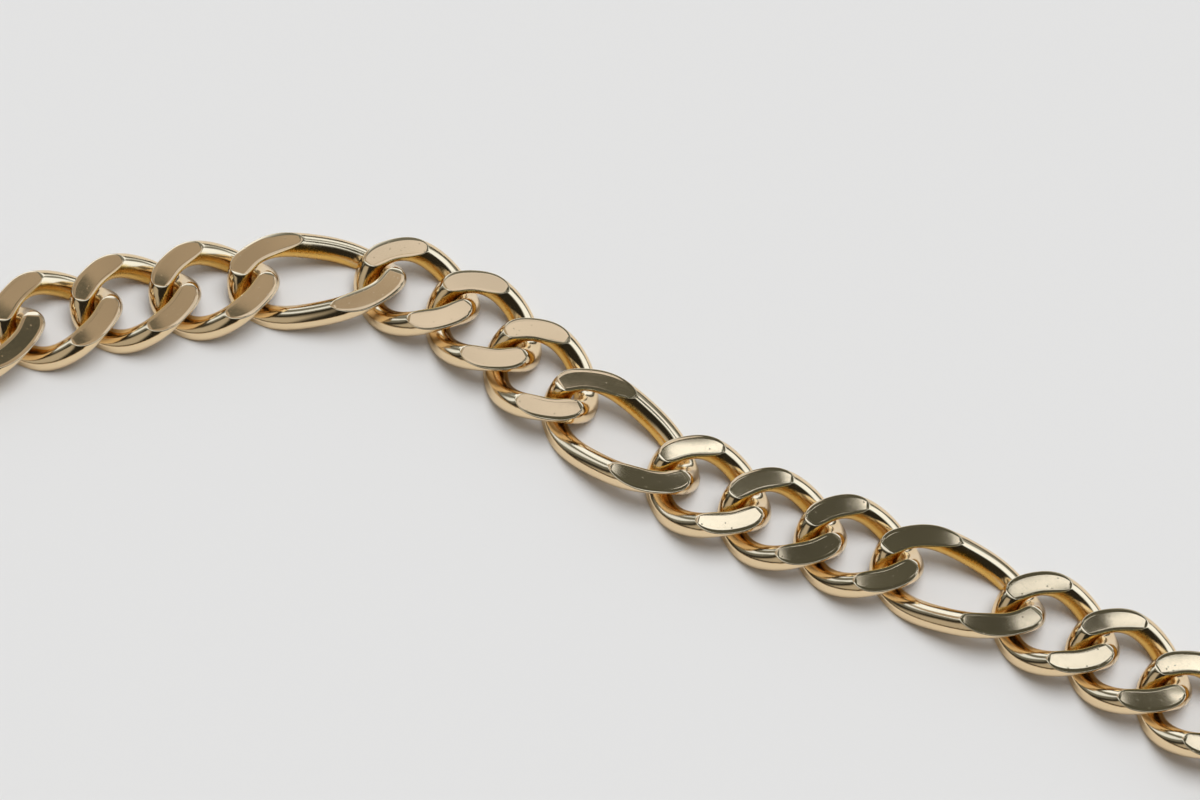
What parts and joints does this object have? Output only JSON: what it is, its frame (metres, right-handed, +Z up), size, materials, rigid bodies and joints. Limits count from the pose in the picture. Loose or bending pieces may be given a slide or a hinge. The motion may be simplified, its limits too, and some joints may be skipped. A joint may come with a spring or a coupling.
{
  "type": "link bracelet",
  "caption": "Link bracelet of twisted oval wire links cut flat on both faces, long links between runs of short ones, closed by a plain clasp and lying flat as an open loop.",
  "frame": {"origin": "on the surface that the bracelet lies on, under the middle of its box seen from above", "axes": "+Z up from the surface, +X along the longer way of the loop, with the clasp on the -Y side and the stretch that the picture shows on the +Y side"},
  "size_m": [0.0954, 0.0522, 0.0026],
  "materials": {
    "gold": "polished pale yellow gold with mirror-flat cut faces"
  },
  "bodies": {
    "root": {"long_link_1": "gold", "short_link_1": "gold", "short_link_2": "gold", "short_link_3": "gold", "long_link_2": "gold", "short_link_4": "gold", "short_link_5": "gold", "short_link_6": "gold", "long_link_3": "gold", "short_link_7": "gold", "short_link_8": "gold", "short_link_9": "gold", "long_link_4": "gold", "short_link_10": "gold", "short_link_11": "gold", "short_link_12": "gold", "long_link_5": "gold", "short_link_13": "gold", "short_link_14": "gold", "short_link_15": "gold", "long_link_6": "gold", "short_link_16": "gold", "short_link_17": "gold", "short_link_18": "gold", "long_link_7": "gold", "short_link_19": "gold", "short_link_20": "gold", "short_link_21": "gold", "long_link_8": "gold", "short_link_22": "gold", "short_link_23": "gold", "short_link_24": "gold", "long_link_9": "gold", "short_link_25": "gold", "short_link_26": "gold", "short_link_27": "gold", "long_link_10": "gold", "short_link_28": "gold", "short_link_29": "gold", "short_link_30": "gold", "clasp": "gold"}
  },
  "joints": []
}
